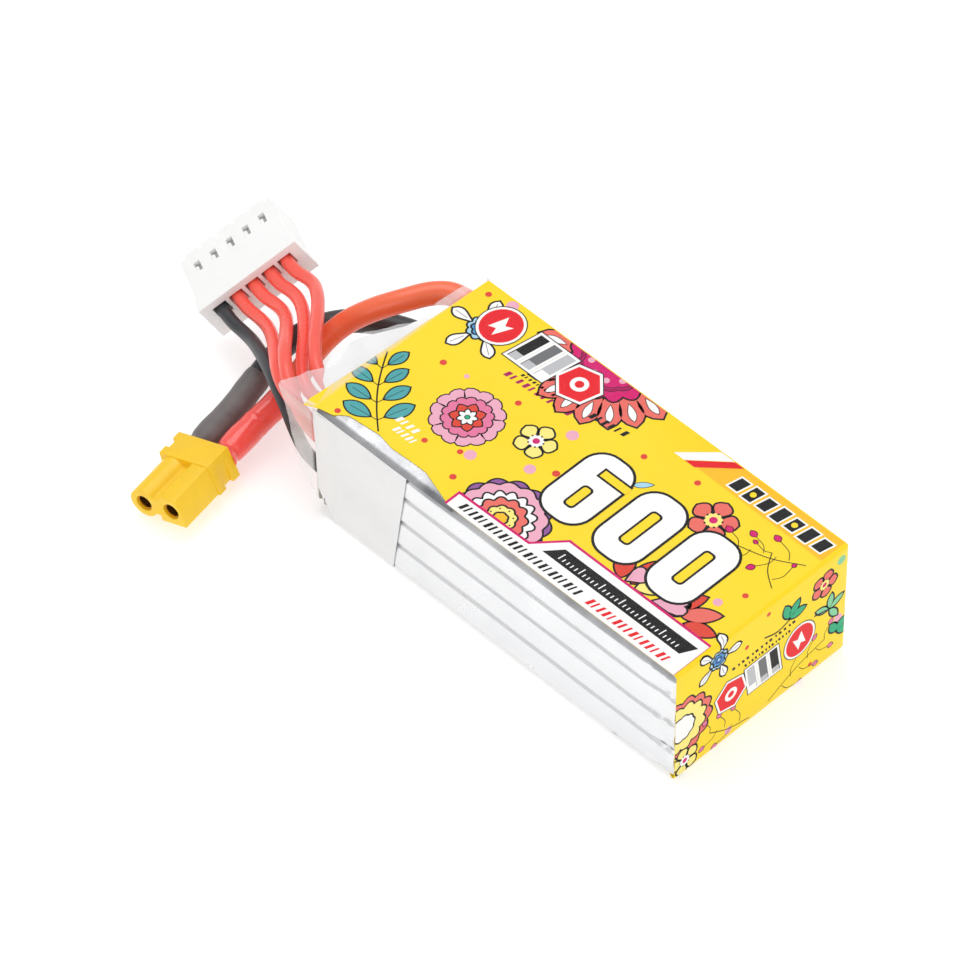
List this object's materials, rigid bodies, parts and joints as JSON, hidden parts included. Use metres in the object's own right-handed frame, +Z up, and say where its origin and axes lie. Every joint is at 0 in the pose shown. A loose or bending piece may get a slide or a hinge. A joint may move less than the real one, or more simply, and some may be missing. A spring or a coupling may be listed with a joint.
{
  "type": "lithium polymer battery pack",
  "caption": "Flat rectangular pouch cell battery pack in a printed label and clear shrink sleeve, with main leads to a power plug and thin wires to a balance plug.",
  "frame": {"origin": "centre of the underside of the wrapped pack, between its label ends", "axes": "+X along the pack away from the wires, +Z up out of the labelled broad face, -Y towards the bare side nearer the power plug"},
  "size_m": [0.0981, 0.0456, 0.019],
  "materials": {
    "pouch_foil": "satin laminated foil, softly creased",
    "aluminium_tab": "bare rolled strip",
    "nickel_tab": "nickel plated strip",
    "foam_tape": "thin double-sided tape",
    "board": "green solder mask",
    "solder": "bright solder and tinned strands",
    "card": "pale insulating card",
    "polyimide": "amber film tape",
    "paper": "white paper tape",
    "printed_film": "printed yellow film",
    "clear_film": "clear shrink film",
    "yellow_nylon": "yellow moulded nylon, satin",
    "gold_brass": "gold plated",
    "white_nylon": "white moulded nylon",
    "tinned_contact": "tinned phosphor bronze",
    "red_silicone": "soft silicone, satin",
    "black_silicone": "soft silicone, satin",
    "red_shrink": "shrunk tube, glossy",
    "black_shrink": "shrunk tube, satin"
  },
  "bodies": {
    "root": {"balance_contact_1": "tinned_contact", "balance_contact_2": "tinned_contact", "balance_contact_3": "tinned_contact", "balance_contact_4": "tinned_contact", "balance_contact_5": "tinned_contact", "balance_plug_housing": "white_nylon", "balance_wire_1": "black_silicone", "balance_wire_2": "red_silicone", "balance_wire_3": "red_silicone", "balance_wire_4": "red_silicone", "balance_wire_5": "red_silicone", "cell_1": "pouch_foil", "cell_1_negative_tab": "nickel_tab", "cell_1_positive_tab": "aluminium_tab", "cell_2": "pouch_foil", "cell_2_negative_tab": "nickel_tab", "cell_2_positive_tab": "aluminium_tab", "cell_3": "pouch_foil", "cell_3_negative_tab": "nickel_tab", "cell_3_positive_tab": "aluminium_tab", "cell_4": "pouch_foil", "cell_4_negative_tab": "nickel_tab", "cell_4_positive_tab": "aluminium_tab", "cell_tape_1": "foam_tape", "cell_tape_2": "foam_tape", "cell_tape_3": "foam_tape", "heat_shrink_negative": "black_shrink", "heat_shrink_positive": "red_shrink", "insulating_card": "card", "label": "printed_film", "main_lead_negative": "black_silicone", "main_lead_positive": "red_silicone", "paper_band": "paper", "polyimide_patch": "polyimide", "power_plug_housing": "yellow_nylon", "power_socket_negative": "gold_brass", "power_socket_positive": "gold_brass", "series_board": "board", "shrink_sleeve": "clear_film", "solder_joints": "solder", "wire_cores": "solder"}
  },
  "joints": []
}
